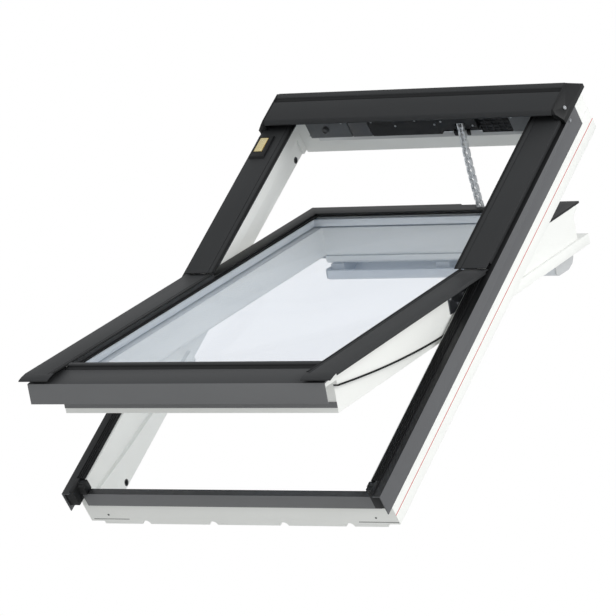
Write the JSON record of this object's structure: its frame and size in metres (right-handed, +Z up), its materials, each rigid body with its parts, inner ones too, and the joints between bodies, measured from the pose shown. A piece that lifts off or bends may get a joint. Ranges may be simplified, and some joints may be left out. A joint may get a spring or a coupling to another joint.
{
  "type": "roof skylight",
  "caption": "Centre-pivot roof window in its white moulded frame with dark cladding, sash held open by a chain opener under the hood.",
  "frame": {"origin": "centre of the frame's lower face, where it meets the roof opening; the roof pitch is 45 degrees", "axes": "+X to the right seen from outside, +Y horizontal into the house and up the roof, +Z up; the glass faces -Y and +Z"},
  "size_m": [0.7832, 1.1881, 0.956],
  "materials": {
    "moulding": "smooth white moulded polyurethane",
    "cladding": "dark grey lacquered sheet",
    "cladding_front": "dark grey lacquered sheet",
    "black_plastic": "black",
    "seal": "black",
    "glass": "clear with a pale blue tint",
    "spacer": "satin",
    "aluminium": "satin",
    "steel": "satin zinc plated",
    "hinge_steel": "dark zinc plated",
    "grey_plastic": "mid grey",
    "dark_plastic": "dark grey",
    "sensor_pad": "pale gold"
  },
  "bodies": {
    "frame": {"outer_frame": "moulding", "frame_bottom_cover": "cladding_front", "side_cover_left": "cladding", "side_cover_right": "cladding", "side_gasket_left": "seal", "side_gasket_right": "seal", "corner_cap_left": "black_plastic", "corner_cap_right": "black_plastic", "upper_cover_left": "cladding", "upper_cover_right": "cladding", "hood": "cladding", "hood_end_cap_left": "black_plastic", "hood_end_cap_right": "black_plastic", "frame_hinge_left": "steel", "frame_hinge_right": "steel", "top_rail": "aluminium", "actuator_housing": "black_plastic", "actuator_lid": "black_plastic", "gear_motor": "steel", "gear_casing": "black_plastic", "opening_chain": "steel", "control_box": "grey_plastic", "cable_box": "dark_plastic", "junction_box": "grey_plastic", "rain_sensor_housing": "black_plastic", "rain_sensor_pad": "sensor_pad", "bolt_sleeves": "dark_plastic", "frame_screws": "steel"},
    "sprocket": {"drive_sprocket": "steel"},
    "sash": {"sash_frame": "moulding", "glass_outer": "glass", "glass_inner": "glass", "glass_spacer": "spacer", "glazing_seal": "seal", "sash_cover_left": "cladding", "sash_cover_right": "cladding", "sash_bottom_cover": "cladding_front", "sash_front_strip": "cladding_front", "sash_top_cover": "black_plastic", "sash_seal_left": "seal", "sash_seal_right": "seal", "sash_hinge_left": "hinge_steel", "sash_hinge_right": "hinge_steel", "hinge_screws": "steel", "chain_bracket": "steel", "vent_casing": "moulding", "vent_pins": "steel", "bolt_housing": "grey_plastic"},
    "bolt": {"barrel_bolt": "steel"},
    "bar": {"control_bar": "aluminium", "bar_end_cap_left": "grey_plastic", "bar_end_cap_right": "grey_plastic", "bar_bracket_left": "grey_plastic", "bar_bracket_middle": "grey_plastic", "bar_bracket_right": "grey_plastic"}
  },
  "joints": [
    {"name": "sash_pivot", "type": "hinge", "parent": "frame", "child": "sash", "pos_m": [0, 0.39669, 0.47305], "axis": [1, 0, 0], "range_deg": [0, 25.4], "deforming": ["opening_chain"]},
    {"name": "bar_pivot", "type": "hinge", "parent": "sash", "child": "bar", "pos_m": [0, 0.92106, 0.56849], "axis": [1, 0, 0], "range_deg": [0, 30]},
    {"name": "bolt_slide", "type": "slide", "parent": "sash", "child": "bolt", "axis": [-1, 0, 0], "range_m": [0, 0.016]},
    {"name": "sprocket_spin", "type": "hinge", "parent": "frame", "child": "sprocket", "pos_m": [0.107, 0.76509, 0.8556], "axis": [1, 0, 0], "range_deg": [-1021.08, 0]}
  ],
  "couplings": [
    {"joint": "sprocket_spin", "follows": "sash_pivot", "ratio": -40.2}
  ]
}
